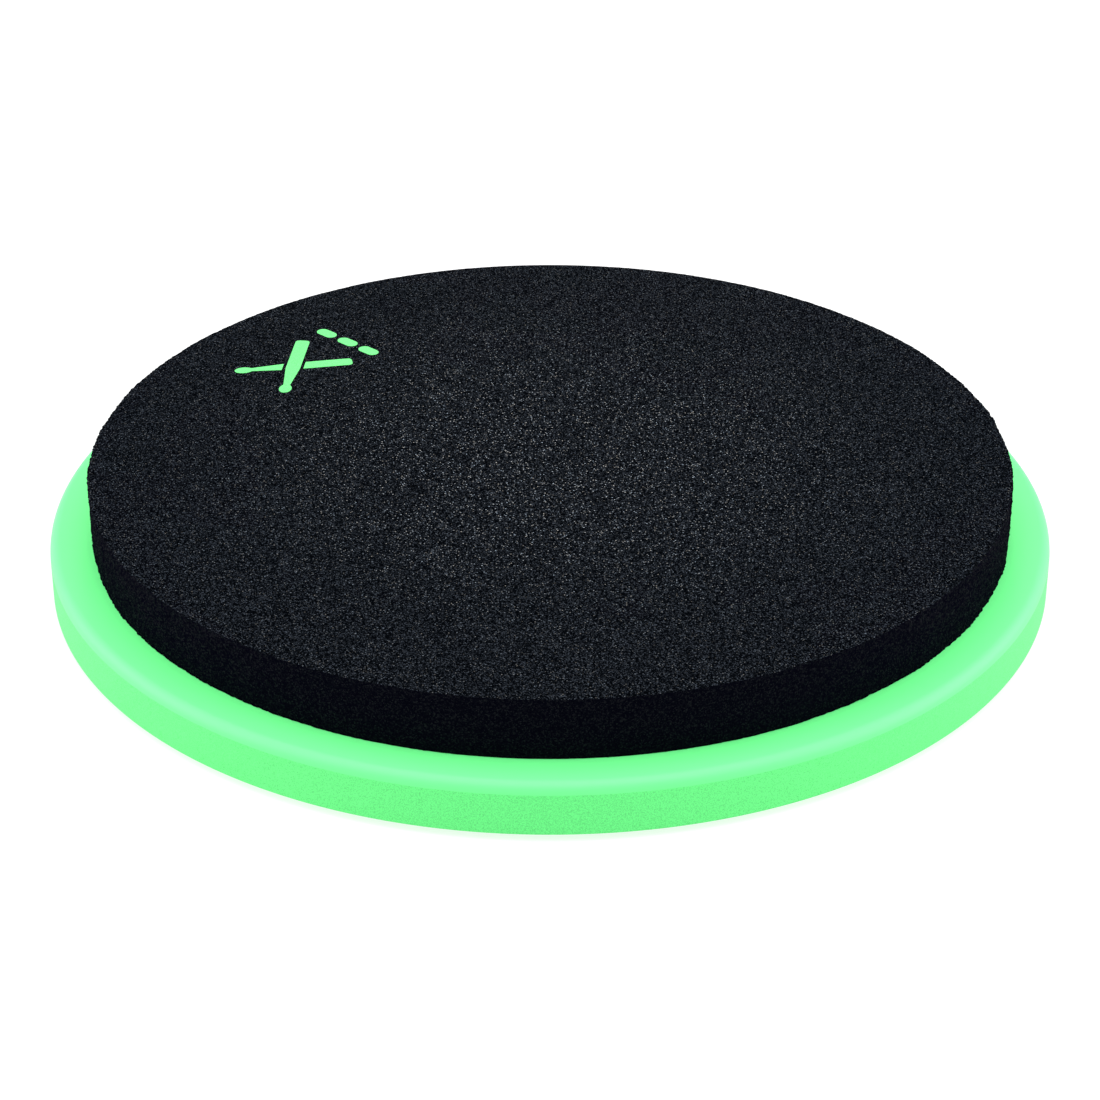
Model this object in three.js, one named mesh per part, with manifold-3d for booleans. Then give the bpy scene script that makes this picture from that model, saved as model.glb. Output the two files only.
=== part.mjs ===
// A round drum practice pad: a thick foam disc glued on a painted fibreboard base, which stands on a
// thin non-slip rubber sheet. A small mark is printed on the foam.
// Millimetres, +Z up. The origin is at the centre of the underside, and the player is on the -Y side.

import * as THREE from "three";
import { mergeVertices } from "three/addons/utils/BufferGeometryUtils.js";
import Module from "manifold-3d";

// The base board. Everything round is sized from its diameter.
const boardDiameter = 304.8;
const boardThickness = 15.9;
const topEdgeRound = 3.2;
const bottomEdgeRound = 0.5;

// The playing foam, with a ring of bare board left round it.
const bareRingWidth = 12.7;
const foamThickness = 18.65;

// The rubber sheet under the board.
const gripInset = 12.7;
const gripThickness = 2;

// Both adhesive sheets, cut a little smaller than what they hold.
const adhesiveThickness = 0.15;
const adhesiveInset = 0.6;

// The printed mark: crossed sticks above a row of dashes, near the foam's edge on the player's right.
const inkThickness = 0.1;
const markEdgeDistance = 24.5;
const markWidth = 27;
const sticksCentreY = 10.7;
const stickLength = 38;
const stickWidth = 4.6;
const stickNeckWidth = 2.1;
const stickTaperLength = 12;
const stickTipLength = 5.8;
const stickTipWidth = 4;
const stickButtRound = 1.5;
const stickLean = THREE.MathUtils.degToRad(37);
const stickGap = 1.1;
const dashRowY = -13.6;
const dashCount = 3;
const dashLength = 7.6;
const dashHeight = 4;

// How finely round shapes are drawn.
const roundSegments = 180;
const topEdgeSteps = 7;
const bottomEdgeSteps = 2;
const outlineSegments = 10;

const foamRadius = boardDiameter / 2 - bareRingWidth;
const gripRadius = boardDiameter / 2 - gripInset;

const finishes = {
  board: { color: 0x7dfea0, roughness: 0.45, metalness: 0 },
  foam: { color: 0x1c2128, roughness: 0.95, metalness: 0 },
  adhesive: { color: 0xd8d2bf, roughness: 0.6, metalness: 0 },
  rubber: { color: 0x17181a, roughness: 0.85, metalness: 0 },
  ink: { color: 0x8ff8aa, roughness: 0.55, metalness: 0 },
};

const wasm = await Module();
wasm.setup();

function toSolid(geometry) {
  const bare = geometry.clone();
  bare.deleteAttribute("normal");
  bare.deleteAttribute("uv");
  const merged = mergeVertices(bare);
  return new wasm.Manifold(
    new wasm.Mesh({
      numProp: 3,
      vertProperties: merged.attributes.position.array,
      triVerts: Uint32Array.from(merged.index.array),
    }),
  );
}

function toGeometry(solid) {
  const { vertProperties, triVerts } = solid.getMesh();
  const geometry = new THREE.BufferGeometry();
  geometry.setAttribute("position", new THREE.BufferAttribute(vertProperties, 3));
  geometry.setIndex(new THREE.BufferAttribute(triVerts, 1));
  geometry.computeVertexNormals();
  return geometry;
}

function piece(name, geometry, finish, height) {
  const mesh = new THREE.Mesh(geometry, new THREE.MeshStandardMaterial(finish));
  mesh.name = name;
  mesh.position.z = height;
  return mesh;
}

// Turns a profile of (radius, height) points about the Z axis.
function turned(profile) {
  return new THREE.LatheGeometry(profile, roundSegments).rotateX(Math.PI / 2);
}

function disc(radius, thickness) {
  return turned([
    new THREE.Vector2(0, 0),
    new THREE.Vector2(radius, 0),
    new THREE.Vector2(radius, thickness),
    new THREE.Vector2(0, thickness),
  ]);
}

// A quarter circle of profile points about a centre, from a start angle to a right angle beyond it.
function edgeArc(centreRadius, centreHeight, radius, startAngle, steps) {
  return Array.from({ length: steps + 1 }, (_, i) => {
    const angle = startAngle + (i / steps) * (Math.PI / 2);
    return new THREE.Vector2(
      centreRadius + radius * Math.cos(angle),
      centreHeight + radius * Math.sin(angle),
    );
  });
}

function boardShape() {
  const radius = boardDiameter / 2;
  return turned([
    new THREE.Vector2(0, 0),
    ...edgeArc(radius - bottomEdgeRound, bottomEdgeRound, bottomEdgeRound, -Math.PI / 2, bottomEdgeSteps),
    ...edgeArc(radius - topEdgeRound, boardThickness - topEdgeRound, topEdgeRound, 0, topEdgeSteps),
    new THREE.Vector2(0, boardThickness),
  ]);
}

function inked(outline) {
  return new THREE.ExtrudeGeometry(outline, {
    depth: inkThickness,
    bevelEnabled: false,
    curveSegments: outlineSegments,
  });
}

// A drumstick lying along Y about its middle, with its tip at +Y.
function stickOutline() {
  const half = stickWidth / 2;
  const end = stickLength / 2;
  const tipCentre = end - stickTipLength / 2;
  const neckAngle = Math.acos(stickNeckWidth / stickTipWidth);
  const neck = tipCentre - (stickTipLength / 2) * Math.sin(neckAngle);
  const outline = new THREE.Shape();
  outline.moveTo(-half + stickButtRound, -end);
  outline.lineTo(half - stickButtRound, -end);
  outline.quadraticCurveTo(half, -end, half, -end + stickButtRound);
  outline.lineTo(half, neck - stickTaperLength);
  outline.lineTo(stickNeckWidth / 2, neck);
  outline.absellipse(
    0, tipCentre, stickTipWidth / 2, stickTipLength / 2, -neckAngle, Math.PI + neckAngle, false, 0,
  );
  outline.lineTo(-half, neck - stickTaperLength);
  outline.lineTo(-half, -end + stickButtRound);
  outline.quadraticCurveTo(-half, -end, -half + stickButtRound, -end);
  return outline;
}

// The stick that passes below stops short of the upper one on each side, so its print is two islands.
function crossedSticks() {
  const upper = inked(stickOutline()).rotateZ(stickLean);
  const lower = inked(stickOutline()).rotateZ(-stickLean);
  const band = new THREE.BoxGeometry(stickWidth + 2 * stickGap, stickLength, 3 * inkThickness);
  band.rotateZ(stickLean);
  const islands = toSolid(lower).subtract(toSolid(band)).decompose();
  islands.sort((a, b) => a.boundingBox().min[1] - b.boundingBox().min[1]);
  const [butt, tip] = islands.map(toGeometry);
  return { print_upper_stick: upper, print_lower_stick_butt: butt, print_lower_stick_tip: tip };
}

function dashOutline() {
  const round = dashHeight / 2;
  const reach = dashLength / 2 - round;
  const outline = new THREE.Shape();
  outline.moveTo(-reach, -round);
  outline.lineTo(reach, -round);
  outline.absarc(reach, 0, round, -Math.PI / 2, Math.PI / 2, false);
  outline.lineTo(-reach, round);
  outline.absarc(-reach, 0, round, Math.PI / 2, (3 * Math.PI) / 2, false);
  return outline;
}

function printedMark() {
  const mark = new THREE.Group();
  mark.position.x = foamRadius - markEdgeDistance - markWidth / 2;
  for (const [name, geometry] of Object.entries(crossedSticks())) {
    const island = piece(name, geometry, finishes.ink, 0);
    island.position.y = sticksCentreY;
    mark.add(island);
  }
  const dashStep = (markWidth - dashLength) / (dashCount - 1);
  for (let i = 0; i < dashCount; i += 1) {
    const dash = piece(`print_dash_${i + 1}`, inked(dashOutline()), finishes.ink, 0);
    dash.position.x = dashStep * (i - (dashCount - 1) / 2);
    dash.position.y = dashRowY;
    mark.add(dash);
  }
  return mark;
}

// The layers are stacked from the bottom up, each resting on the one below.
function practicePad() {
  const pad = new THREE.Group();
  const layers = [
    ["grip_sheet", disc(gripRadius, gripThickness), finishes.rubber, gripThickness],
    ["grip_adhesive", disc(gripRadius - adhesiveInset, adhesiveThickness), finishes.adhesive, adhesiveThickness],
    ["base_board", boardShape(), finishes.board, boardThickness],
    ["foam_adhesive", disc(foamRadius - adhesiveInset, adhesiveThickness), finishes.adhesive, adhesiveThickness],
    ["playing_foam", disc(foamRadius, foamThickness), finishes.foam, foamThickness],
  ];
  let height = 0;
  for (const [name, geometry, finish, thickness] of layers) {
    pad.add(piece(name, geometry, finish, height));
    height += thickness;
  }
  const mark = printedMark();
  mark.position.z = height;
  pad.add(mark);
  return pad;
}

export default practicePad();
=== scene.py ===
# %% [markdown]
# # A drum practice pad
#
# The pad is a laminate. A rubber sheet grips the table, a round fibreboard base sprayed mint stands on
# it, and a thick black foam disc is glued on top, with a small mark printed near its edge. Nothing on
# it moves. The CAD model gives every layer its place and size. This lesson gives each layer the shape
# that a knife, a router and a spray gun leave, and a finish at its real scale.

import math

import bmesh
import bpy
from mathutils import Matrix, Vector


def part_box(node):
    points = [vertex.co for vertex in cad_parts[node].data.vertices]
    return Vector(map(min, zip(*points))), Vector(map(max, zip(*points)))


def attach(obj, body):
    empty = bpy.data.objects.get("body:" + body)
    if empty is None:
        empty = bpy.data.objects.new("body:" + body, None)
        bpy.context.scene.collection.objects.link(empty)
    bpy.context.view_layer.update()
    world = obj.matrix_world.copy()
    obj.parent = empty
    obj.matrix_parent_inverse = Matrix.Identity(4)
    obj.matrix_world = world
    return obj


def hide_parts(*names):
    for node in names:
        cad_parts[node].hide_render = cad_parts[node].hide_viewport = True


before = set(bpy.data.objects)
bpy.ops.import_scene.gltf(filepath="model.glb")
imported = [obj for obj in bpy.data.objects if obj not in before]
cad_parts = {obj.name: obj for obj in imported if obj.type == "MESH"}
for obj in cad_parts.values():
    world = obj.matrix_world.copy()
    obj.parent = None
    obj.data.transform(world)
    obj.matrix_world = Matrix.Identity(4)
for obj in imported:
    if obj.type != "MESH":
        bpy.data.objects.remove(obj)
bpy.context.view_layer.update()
MM = 0.001

# %% [markdown]
# ## Picking faces and edges by their place
#
# By hand, a modeller clicks on a face or an edge and then runs a tool on it. A script can't click, so
# these helpers select by place instead. Every tool of Edit Mode acts on all that is selected, and
# loading the frame leaves its objects selected, so each piece starts with nothing selected.


# %% Helpers for Object Mode and Edit Mode
def deselect_all():
    if bpy.context.mode != "OBJECT":
        bpy.ops.object.mode_set(mode="OBJECT")
    bpy.ops.object.select_all(action="DESELECT")


def start_editing(piece):
    """Makes the piece active and alone selected, and opens Edit Mode with nothing in it selected."""
    deselect_all()
    piece.select_set(True)
    bpy.context.view_layer.objects.active = piece
    bpy.ops.object.mode_set(mode="EDIT")
    bpy.ops.mesh.select_all(action="DESELECT")


def select_where(piece, kind, test):
    """Selects only the faces or edges whose middle passes the test. Returns how many did."""
    bpy.context.tool_settings.mesh_select_mode = (False, kind == "EDGE", kind == "FACE")
    bpy.ops.mesh.select_all(action="DESELECT")
    mesh = bmesh.from_edit_mesh(piece.data)
    parts = mesh.faces if kind == "FACE" else mesh.edges
    picked = 0
    for part in parts:
        middle = sum((vertex.co for vertex in part.verts), Vector()) / len(part.verts)
        if test(middle, part):
            part.select_set(True)
            picked += 1
    mesh.select_flush_mode()
    bmesh.update_edit_mesh(piece.data)
    return picked


def disc(name, node, segments):
    """A closed cylinder that fills a round CAD node's box, with its place in its mesh."""
    low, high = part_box(node)
    deselect_all()
    bpy.ops.mesh.primitive_cylinder_add(
        vertices=segments,
        radius=(high.x - low.x) / 2,
        depth=high.z - low.z,
        location=(low + high) / 2,
    )
    piece = bpy.context.object
    piece.name = name
    bpy.ops.object.transform_apply(location=True, rotation=True, scale=True)
    return piece


def near(value, target, slack=0.02 * MM):
    return abs(value - target) < slack


def finish_piece(piece, node):
    """Shades the piece smooth except at its real edges, puts it on its body, and hides the CAD node it
    stands for.
    """
    deselect_all()
    piece.select_set(True)
    bpy.context.view_layer.objects.active = piece
    bpy.ops.object.shade_smooth_by_angle(angle=math.radians(40))
    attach(piece, "root")
    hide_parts(node)
    sizes = [round(size / MM, 2) for size in piece.dimensions]
    print(piece.name, "is", sizes, "mm with", len(piece.data.polygons), "faces")


# %% [markdown]
# ## The base board
#
# The real base is cut with a router from fibreboard about 16 mm thick. A round-over bit takes the top
# edge off, and a quick pass with sandpaper eases the bottom one. A cylinder with its two edge loops
# bevelled is made in the same order. A narrow inset beside each bevel keeps the flat faces flat when
# they are shaded smooth.

# %% Model the base board
board_low, board_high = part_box("base_board")
round_sides = 720
top_round = 3.2 * MM
bottom_ease = 0.5 * MM
flat_margin = 0.4 * MM
board = disc("sprayed_board", "base_board", round_sides)
start_editing(board)
picked = select_where(board, "EDGE", lambda middle, _: near(middle.z, board_high.z))
bpy.ops.mesh.bevel(offset=top_round, segments=12, affect="EDGES")
print("bevelled", picked, "edges on top")
picked = select_where(board, "EDGE", lambda middle, _: near(middle.z, board_low.z))
bpy.ops.mesh.bevel(offset=bottom_ease, segments=4, affect="EDGES")
print("bevelled", picked, "edges below")
for level in (board_high.z, board_low.z):
    select_where(board, "FACE", lambda middle, face: near(middle.z, level) and len(face.verts) > 4)
    bpy.ops.mesh.inset(thickness=flat_margin)
bpy.ops.object.mode_set(mode="OBJECT")
finish_piece(board, "base_board")

# %% [markdown]
# ## The playing foam
#
# The foam disc is stamped out of a thick sheet with a steel die. The blade drags on the soft cells, so
# the cut wall wanders by a few tenths of a millimetre and its sharp edges are finely ragged. Cloth
# simulation suits a cushion that swells, but this slab is firm. So the wall is divided into rings, and
# Displace modifiers with two cloud patterns, a broad one and a fine one, push it along X and along Y.

# %% Model the playing foam
foam_low, foam_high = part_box("playing_foam")
foam_radius = (foam_high.x - foam_low.x) / 2
foam_sides = 1440
wall_rings = 22
inset_steps = (0.35, 0.5, 0.8, 1.4, 2.5, 4.0)
foam = disc("foam_disc", "playing_foam", foam_sides)
start_editing(foam)
select_where(foam, "EDGE", lambda middle, _: near(middle.z, (foam_low.z + foam_high.z) / 2))
bpy.ops.mesh.subdivide_edgering(number_cuts=wall_rings - 1, interpolation="LINEAR")
for step in inset_steps:
    for level in (foam_low.z, foam_high.z):
        select_where(foam, "FACE", lambda middle, face: near(middle.z, level) and len(face.verts) > 4)
        bpy.ops.mesh.inset(thickness=step * MM)
bpy.ops.object.mode_set(mode="OBJECT")
print("the foam has", len(foam.data.polygons), "faces before its edges are roughened")


# %% Roughen the cut wall
def cloud_texture(name, size, depth):
    pattern = bpy.data.textures.new(name, "CLOUDS")
    pattern.noise_scale = size
    pattern.noise_depth = depth
    return pattern


def weight_rim(piece, name, radius, reach):
    """A vertex group that is full at this radius and fades to nothing this far inside it."""
    group = piece.vertex_groups.new(name=name)
    for vertex in piece.data.vertices:
        inside = radius - vertex.co.xy.length
        group.add([vertex.index], max(0.0, 1.0 - inside / reach), "REPLACE")
    return group.name


def displace(piece, pattern, group, direction, strength):
    push = piece.modifiers.new(pattern.name, "DISPLACE")
    push.texture = pattern
    push.texture_coords = "LOCAL"
    push.vertex_group = group
    push.direction = direction
    push.strength = strength
    push.mid_level = 0.5
    bpy.ops.object.modifier_apply(modifier=push.name)


rough_reach = 3.0 * MM
rim = weight_rim(foam, "cut wall", foam_radius, rough_reach)
deselect_all()
foam.select_set(True)
bpy.context.view_layer.objects.active = foam
for pattern, strength in (
    (cloud_texture("die wander", 14 * MM, 1), 0.7 * MM),
    (cloud_texture("torn cells", 1.2 * MM, 2), 0.75 * MM),
):
    displace(foam, pattern, rim, "X", strength)
    displace(foam, pattern, rim, "Y", strength)
finish_piece(foam, "playing_foam")

# %% [markdown]
# ## The non-slip sheet
#
# The sheet below is plain rubber, two millimetres thick and die cut, so a cylinder with a slight
# rounding on both edges is all its shape. Its fine studs are left to its material.

# %% Model the non-slip sheet
grip_low, grip_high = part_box("grip_sheet")
edge_round = 0.25 * MM
edge_margin = 0.3 * MM
grip = disc("non_slip_sheet", "grip_sheet", round_sides)
start_editing(grip)
for level in (grip_low.z, grip_high.z):
    select_where(grip, "EDGE", lambda middle, _: near(middle.z, level))
    bpy.ops.mesh.bevel(offset=edge_round, segments=3, affect="EDGES")
for level in (grip_low.z, grip_high.z):
    select_where(grip, "FACE", lambda middle, face: near(middle.z, level) and len(face.verts) > 4)
    bpy.ops.mesh.inset(thickness=edge_margin)
bpy.ops.object.mode_set(mode="OBJECT")
finish_piece(grip, "grip_sheet")

# %% [markdown]
# ## Shader maths as plain expressions
#
# A material's pattern is worked out by small nodes. Written one by one they are hard to read, so this
# class wraps a node's output and lets Python's own operators add the Math nodes.


# %% A small class for shader maths
class Wire:
    """One output socket in a material. Operators on it add Math nodes."""

    def __init__(self, tree, socket):
        self.tree = tree
        self.socket = socket

    def node(self, kind, sockets, output=0, **settings):
        """Adds a node, sets it up, fills its sockets with values or links, and wraps one output."""
        made = self.tree.nodes.new(kind)
        for name, value in settings.items():
            setattr(made, name, value)
        for name, value in sockets.items():
            if isinstance(value, Wire):
                self.tree.links.new(value.socket, made.inputs[name])
            else:
                made.inputs[name].default_value = value
        return Wire(self.tree, made.outputs[output])

    def output(self, name):
        """Another output of the node that this one comes from."""
        return Wire(self.tree, self.socket.node.outputs[name])

    def math(self, operation, first, second):
        return self.node("ShaderNodeMath", {0: first, 1: second}, operation=operation)

    def __add__(self, other):
        return self.math("ADD", self, other)

    def __radd__(self, other):
        return self.math("ADD", other, self)

    def __sub__(self, other):
        return self.math("SUBTRACT", self, other)

    def __rsub__(self, other):
        return self.math("SUBTRACT", other, self)

    def __mul__(self, other):
        return self.math("MULTIPLY", self, other)

    def __rmul__(self, other):
        return self.math("MULTIPLY", other, self)

    def __pow__(self, other):
        return self.math("POWER", self, other)

    def __rpow__(self, other):
        return self.math("POWER", other, self)

    def ramp(self, low, high):
        """0 below low, 1 above high, and smooth between."""
        sockets = {"Value": self, "From Min": low, "From Max": high}
        return self.node("ShaderNodeMapRange", sockets, interpolation_type="SMOOTHSTEP")

    def mix(self, start, end):
        """A colour that goes from start to end as this value goes from 0 to 1."""
        return self.node("ShaderNodeMix", {0: self, 6: start, 7: end}, 2, data_type="RGBA")

    def channel(self, name):
        """The red, green or blue of a colour."""
        return self.node("ShaderNodeSeparateColor", {0: self}, name)


def new_finish(name):
    """A material with a fresh Principled shader. Returns it, its shader, and the place in metres."""
    finish = bpy.data.materials.new(name)
    finish.use_nodes = True
    tree = finish.node_tree
    shader = tree.nodes["Principled BSDF"]
    place = Wire(tree, tree.nodes.new("ShaderNodeTexCoord").outputs["Object"])
    return finish, shader, place


def noise(place, size, detail=2.0, roughness=0.5):
    """Cloudy values from 0 to 1, with lumps of this size in metres."""
    sockets = {"Vector": place, "Scale": 1.0 / size, "Detail": detail, "Roughness": roughness}
    return place.node("ShaderNodeTexNoise", sockets)


def cells(place, size):
    """Round cells of this size in metres, as the distance from each one's middle, 0 to about 1."""
    return place.node("ShaderNodeTexVoronoi", {"Vector": place, "Scale": 1.0 / size}, "Distance")


def plug(shader, **values):
    """Sets or links sockets of the shader, whose names are written with _ for each space."""
    for name, value in values.items():
        socket = shader.inputs[name.replace("_", " ")]
        if isinstance(value, Wire):
            value.tree.links.new(value.socket, socket)
        else:
            socket.default_value = value


def bump(height, depth, strength=1.0):
    """The normal of a surface whose height, from 0 to 1, is this many metres deep."""
    return height.node("ShaderNodeBump", {"Height": height, "Distance": depth, "Strength": strength})


def wear(piece, *finishes):
    """Gives the piece these finishes and no others."""
    piece.data.materials.clear()
    for finish in finishes:
        piece.data.materials.append(finish)
    print(piece.name, "wears", [finish.name for finish in finishes])


# %% [markdown]
# ## Sprayed fibreboard
#
# The face of the board is dense and takes paint smoothly, with only a faint orange peel. The routed
# edge cuts through the looser middle of the board, whose fibres soak up paint and stand up, so the
# wall is finely grained and its paint a shade patchier. One mask, from the height, tells them apart.

# %% Paint for the board
mint = (0.162, 0.95, 0.280, 1.0)
mint_edge = (0.147, 0.92, 0.242, 1.0)
mint_soaked = (0.090, 0.68, 0.160, 1.0)
fibre_size = 0.32 * MM
peel_size = 2.4 * MM
patch_size = 9 * MM
paint_relief = 0.06 * MM


def board_paint():
    finish, shader, place = new_finish("mint spray paint")
    height = place.node("ShaderNodeSeparateXYZ", {0: place}, "Z")
    wall = 1.0 - height.ramp(board_high.z - top_round - 0.1 * MM, board_high.z - top_round + 0.2 * MM)
    fibres = noise(place, fibre_size, 3.0, 0.65)
    peel = noise(place, peel_size, 1.0)
    patches = noise(place, patch_size, 2.0)
    soaked = wall * fibres.ramp(0.42, 0.68)
    tint = (wall * 0.9 + (patches - 0.5) * 0.2).mix(mint, mint_edge)
    relief = fibres * wall + peel * 0.25
    plug(
        shader,
        Base_Color=soaked.mix(tint, mint_soaked),
        Roughness=0.42 + wall * 0.18 + fibres * 0.06,
        Normal=bump(relief, paint_relief),
        IOR=1.45,
        Specular_IOR_Level=0.35,
    )
    return finish


wear(board, board_paint())

# %% [markdown]
# ## Black foam
#
# The foam's top skin was sliced, so every cell is open. The cells are under half a millimetre across,
# and each was cut at its own height. That is a random grey for each cell of a pattern, raised to a
# power so that few are light, and the black of the deep cells is painted shade. Over them lie torn cell
# walls as dents, and small warm or cool specks, which are painted glints; more are painted in the
# middle, as a painted sheen. The die-cut side is smeared by the blade and nearly black, and its cells
# only shine where light strikes along the wall.

# %% Finishes for the foam
# The pit colour is painted shade in the deep cells, and the two speck colours are painted glints.
foam_pit_shade = (0.0006, 0.0009, 0.0015, 1.0)
foam_cup = (0.0270, 0.0345, 0.047, 1.0)
foam_glint_warm = (0.44, 0.41, 0.36, 1.0)
foam_glint_cool = (0.32, 0.40, 0.49, 1.0)
foam_cut = (0.0013, 0.0014, 0.0038, 1.0)
foam_smear = (0.0024, 0.0024, 0.0056, 1.0)
# How far out from the middle the painted sheen of extra glints reaches.
sheen_radius = 125 * MM
skin_cell = 0.29 * MM
torn_and_glint_cell = 0.75 * MM
wall_cell = 0.36 * MM


def foam_skin():
    finish, shader, place = new_finish("open celled foam skin")
    flat = place.node("ShaderNodeVectorMath", {0: place, 1: (1.0, 1.0, 0.0)}, operation="MULTIPLY")
    reach = flat.node("ShaderNodeVectorMath", {0: flat}, "Value", operation="LENGTH")
    # Painted sheen: a mask that is full in the middle of the skin, where more glints are painted.
    sheen_middle = 1.0 - reach.ramp(0.2 * sheen_radius, sheen_radius)
    pits = cells(place, skin_cell)
    # Deep cells take the pit colour, which is painted shade.
    cup = pits.output("Color").channel("Red") ** 7.0
    torn = cells(place, torn_and_glint_cell)
    glint_random = torn.output("Color")
    # The specks are painted glints, and more of them are painted in the middle as a painted sheen.
    painted_glint = (1.0 - torn.ramp(0.16, 0.30)) * glint_random.channel("Red") ** 2.5 * (sheen_middle * 0.7 + 0.3)
    glint_tint = glint_random.channel("Green").mix(foam_glint_warm, foam_glint_cool)
    plug(
        shader,
        Base_Color=painted_glint.mix(cup.mix(foam_pit_shade, foam_cup), glint_tint),
        Roughness=0.9 - painted_glint * 0.2,
        Normal=bump(pits * 0.5 - torn, 0.12 * MM),
        Specular_IOR_Level=0.0,
        Coat_Weight=(cup + painted_glint) * 0.15,
        Coat_Roughness=0.4,
    )
    return finish


def foam_cut_wall():
    finish, shader, place = new_finish("die cut foam wall")
    pits = cells(place, wall_cell)
    cup = pits.output("Color").channel("Red") ** 4.0
    plug(
        shader,
        Base_Color=cup.mix(foam_cut, foam_smear),
        Roughness=0.9 - cup * 0.2,
        Normal=bump(pits, 0.10 * MM),
        Specular_IOR_Level=0.0,
        Coat_Weight=cup * 0.16,
        Coat_Roughness=0.5,
    )
    return finish


level_enough = 0.7
wear(foam, foam_skin(), foam_cut_wall())
for face in foam.data.polygons:
    face.material_index = 0 if abs(face.normal.z) > level_enough else 1
on_wall = sum(face.material_index for face in foam.data.polygons)
print(on_wall, "of the foam's", len(foam.data.polygons), "faces are cut wall")

# %% [markdown]
# ## Rubber, adhesive and ink
#
# The rubber sheet is moulded with a fine pattern of round studs, which grip a table, and dust settles
# on them. The adhesive films are cloudy, as the glue lies thicker in some places than in others. The
# ink is pressed through a mesh onto open cells, so its cover is a little uneven and a few pores are
# left in it. The films and the ink keep their CAD shapes and only get a finish.

# %% Finishes for the rest
stud_size = 1.8 * MM
rubber_clean = (0.014, 0.014, 0.015, 1.0)
rubber_dusty = (0.034, 0.034, 0.035, 1.0)
# The groove colour is painted shade between the studs.
groove_shade_colour = (0.005, 0.005, 0.006, 1.0)
film_thin = (0.52, 0.49, 0.41, 1.0)
film_thick = (0.70, 0.67, 0.58, 1.0)
ink_thin = (0.112, 0.60, 0.165, 1.0)
ink_full = (0.142, 0.72, 0.205, 1.0)
ink_pore = (0.04, 0.21, 0.06, 1.0)


def rubber():
    finish, shader, place = new_finish("non slip rubber")
    studs = cells(place, stud_size)
    groove = studs.ramp(0.38, 0.62)
    fine = noise(place, 0.3 * MM, 2.0)
    dust = noise(place, 22 * MM, 3.0).ramp(0.35, 0.8)
    stud_tint = dust.mix(rubber_clean, rubber_dusty)
    plug(
        shader,
        # Grooves take the darker colour, painted shade between the studs.
        Base_Color=groove.mix(stud_tint, groove_shade_colour),
        Roughness=0.58 + groove * 0.2 + fine * 0.1,
        Normal=bump(fine * 0.1 - groove, 0.25 * MM),
        Specular_IOR_Level=0.4,
    )
    return finish


def adhesive():
    finish, shader, place = new_finish("adhesive film")
    streaks = noise(place, 1.5 * MM, 3.0)
    plug(
        shader,
        Base_Color=streaks.mix(film_thin, film_thick),
        Roughness=0.4 + streaks * 0.25,
        Normal=bump(streaks, 0.03 * MM),
    )
    return finish


def ink():
    finish, shader, place = new_finish("mint screen ink")
    cover = noise(place, 0.7 * MM, 3.0, 0.6)
    pores = cells(place, 0.6 * MM)
    pore = (1.0 - pores.ramp(0.10, 0.24)) * pores.output("Color").channel("Red").ramp(0.5, 0.9)
    tint = cover.ramp(0.3, 0.7).mix(ink_thin, ink_full)
    plug(
        shader,
        Base_Color=pore.mix(tint, ink_pore),
        Roughness=0.5 + cover * 0.2,
        Normal=bump(cover - pore, 0.1 * MM),
        Specular_IOR_Level=0.3,
    )
    return finish


wear(grip, rubber())
film, print_ink = adhesive(), ink()
for name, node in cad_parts.items():
    if name.endswith("adhesive"):
        wear(node, film)
    elif name.startswith("print"):
        wear(node, print_ink)

# %% [markdown]
# ## Floor, light and camera
#
# The pad is shown on a plain white sweep. Two large soft boxes stand at its sides and make the rounded
# edge shine on both flanks. The foam would shade the bare ring from them, so a large one overhead fills
# it, and a small low one behind lights the far edge. The floor glows a little by itself, which keeps it
# white and leaves almost no shadow.

# %% Stage
pad_centre = Vector((0, 0, board_low.z))
camera_azimuth = math.radians(222.2)
camera_elevation = math.radians(29.63)
camera_distance = 0.9394
floor_size = 30.0
floor_drop = 0.05 * MM
white = (1.0, 1.0, 1.0, 1.0)
floor_grey = (0.30, 0.30, 0.30, 1.0)
floor_glow = 0.75
sky_strength = 0.45


def around(azimuth, elevation, distance):
    """A point at this distance from the pad's centre. Azimuth 0 is the player's side."""
    flat = math.cos(elevation) * distance
    return pad_centre + Vector(
        (math.sin(azimuth) * flat, -math.cos(azimuth) * flat, math.sin(elevation) * distance)
    )


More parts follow.
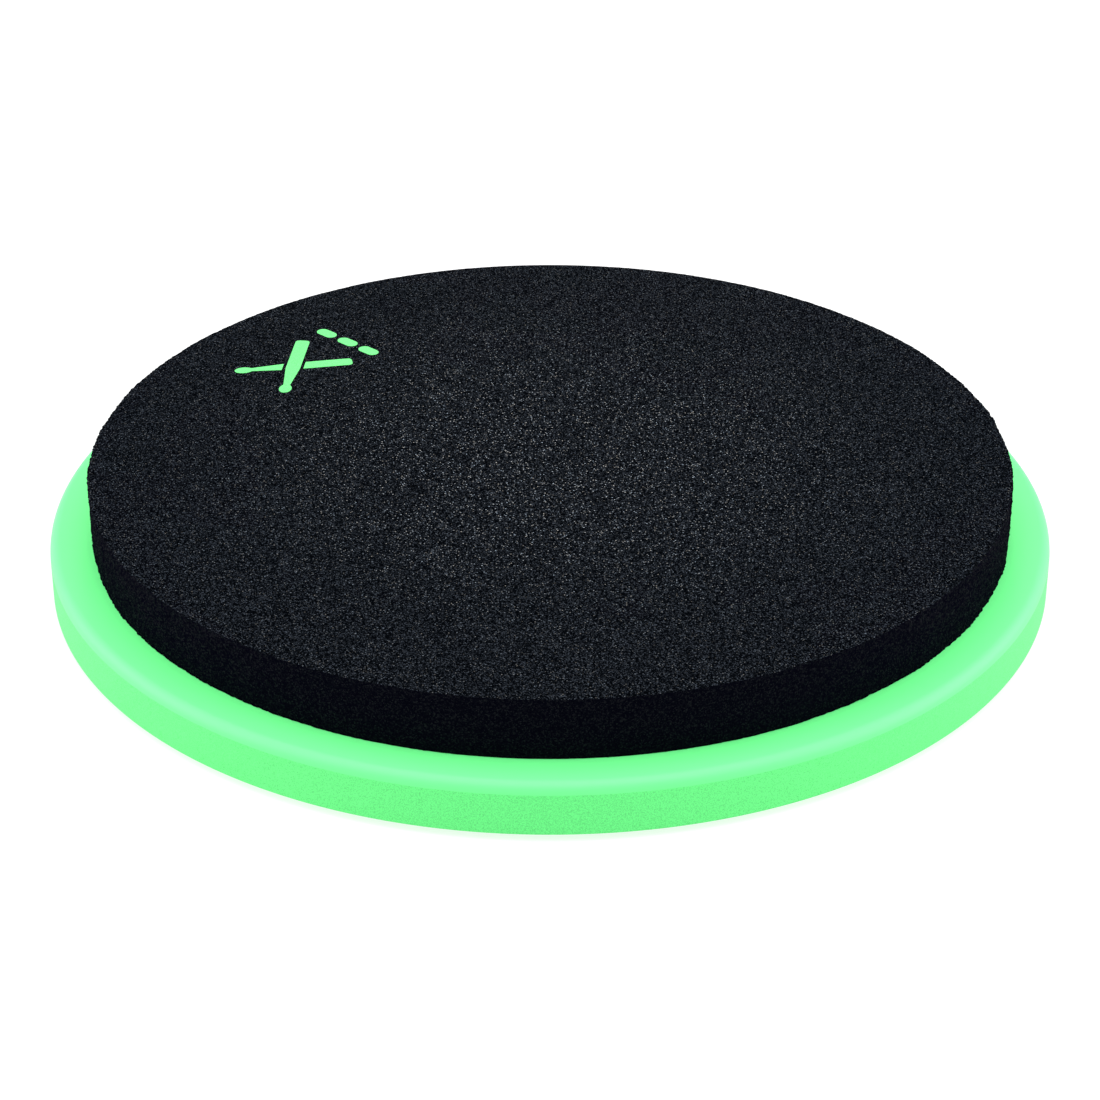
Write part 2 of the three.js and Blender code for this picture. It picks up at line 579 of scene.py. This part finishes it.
deselect_all()
bpy.ops.mesh.primitive_plane_add(size=floor_size, location=(0, 0, -floor_drop))
floor = bpy.context.object
floor.name = "floor"
paper, paper_shader, _ = new_finish("white sweep")
plug(
    paper_shader,
    Base_Color=floor_grey,
    Roughness=0.9,
    Specular_IOR_Level=0.0,
    Emission_Color=white,
    Emission_Strength=floor_glow,
)
wear(floor, paper)

world = bpy.data.worlds.new("studio")
bpy.context.scene.world = world
world.use_nodes = True
background = world.node_tree.nodes["Background"]
background.inputs["Color"].default_value = white
background.inputs["Strength"].default_value = sky_strength


def soft_box(name, turn, elevation, distance, width, height, watts):
    """A rectangular light that faces the pad. turn is its azimuth from the camera's, in degrees."""
    place = around(camera_azimuth + math.radians(turn), math.radians(elevation), distance)
    bpy.ops.object.light_add(type="AREA", location=place)
    lamp = bpy.context.object
    lamp.name = name
    lamp.data.shape = "RECTANGLE"
    lamp.data.size = width
    lamp.data.size_y = height
    lamp.data.energy = watts
    lamp.rotation_euler = (pad_centre - place).to_track_quat("-Z", "Y").to_euler()
    print(name, "of", watts, "W stands at", [round(along, 2) for along in place], "m")


soft_box(
    "left soft box", turn=-90, elevation=26, distance=1.1, width=1.3, height=0.9, watts=10.0
)
soft_box(
    "right soft box", turn=90, elevation=26, distance=1.1, width=1.3, height=0.9, watts=10.0
)
soft_box(
    "back soft box", turn=180, elevation=30, distance=1.3, width=0.5, height=0.2, watts=2.0
)
soft_box(
    "overhead soft box", turn=0, elevation=84, distance=1.2, width=1.5, height=1.5, watts=17.0
)

# %% Camera
focal_length_in_mm = 99.1
sensor_width_in_mm = 36.0
aim_height = 1.0 * MM
lens = bpy.data.cameras.new("camera")
lens.lens = focal_length_in_mm
lens.sensor_width = sensor_width_in_mm
camera = bpy.data.objects.new("camera", lens)
bpy.context.scene.collection.objects.link(camera)
camera.location = around(camera_azimuth, camera_elevation, camera_distance)
aim = pad_centre + Vector((0, 0, aim_height))
camera.rotation_euler = (aim - camera.location).to_track_quat("-Z", "Y").to_euler()
bpy.context.scene.camera = camera
bpy.context.scene.view_settings.view_transform = "Standard"
print("the camera stands at", [round(along, 3) for along in camera.location], "m")
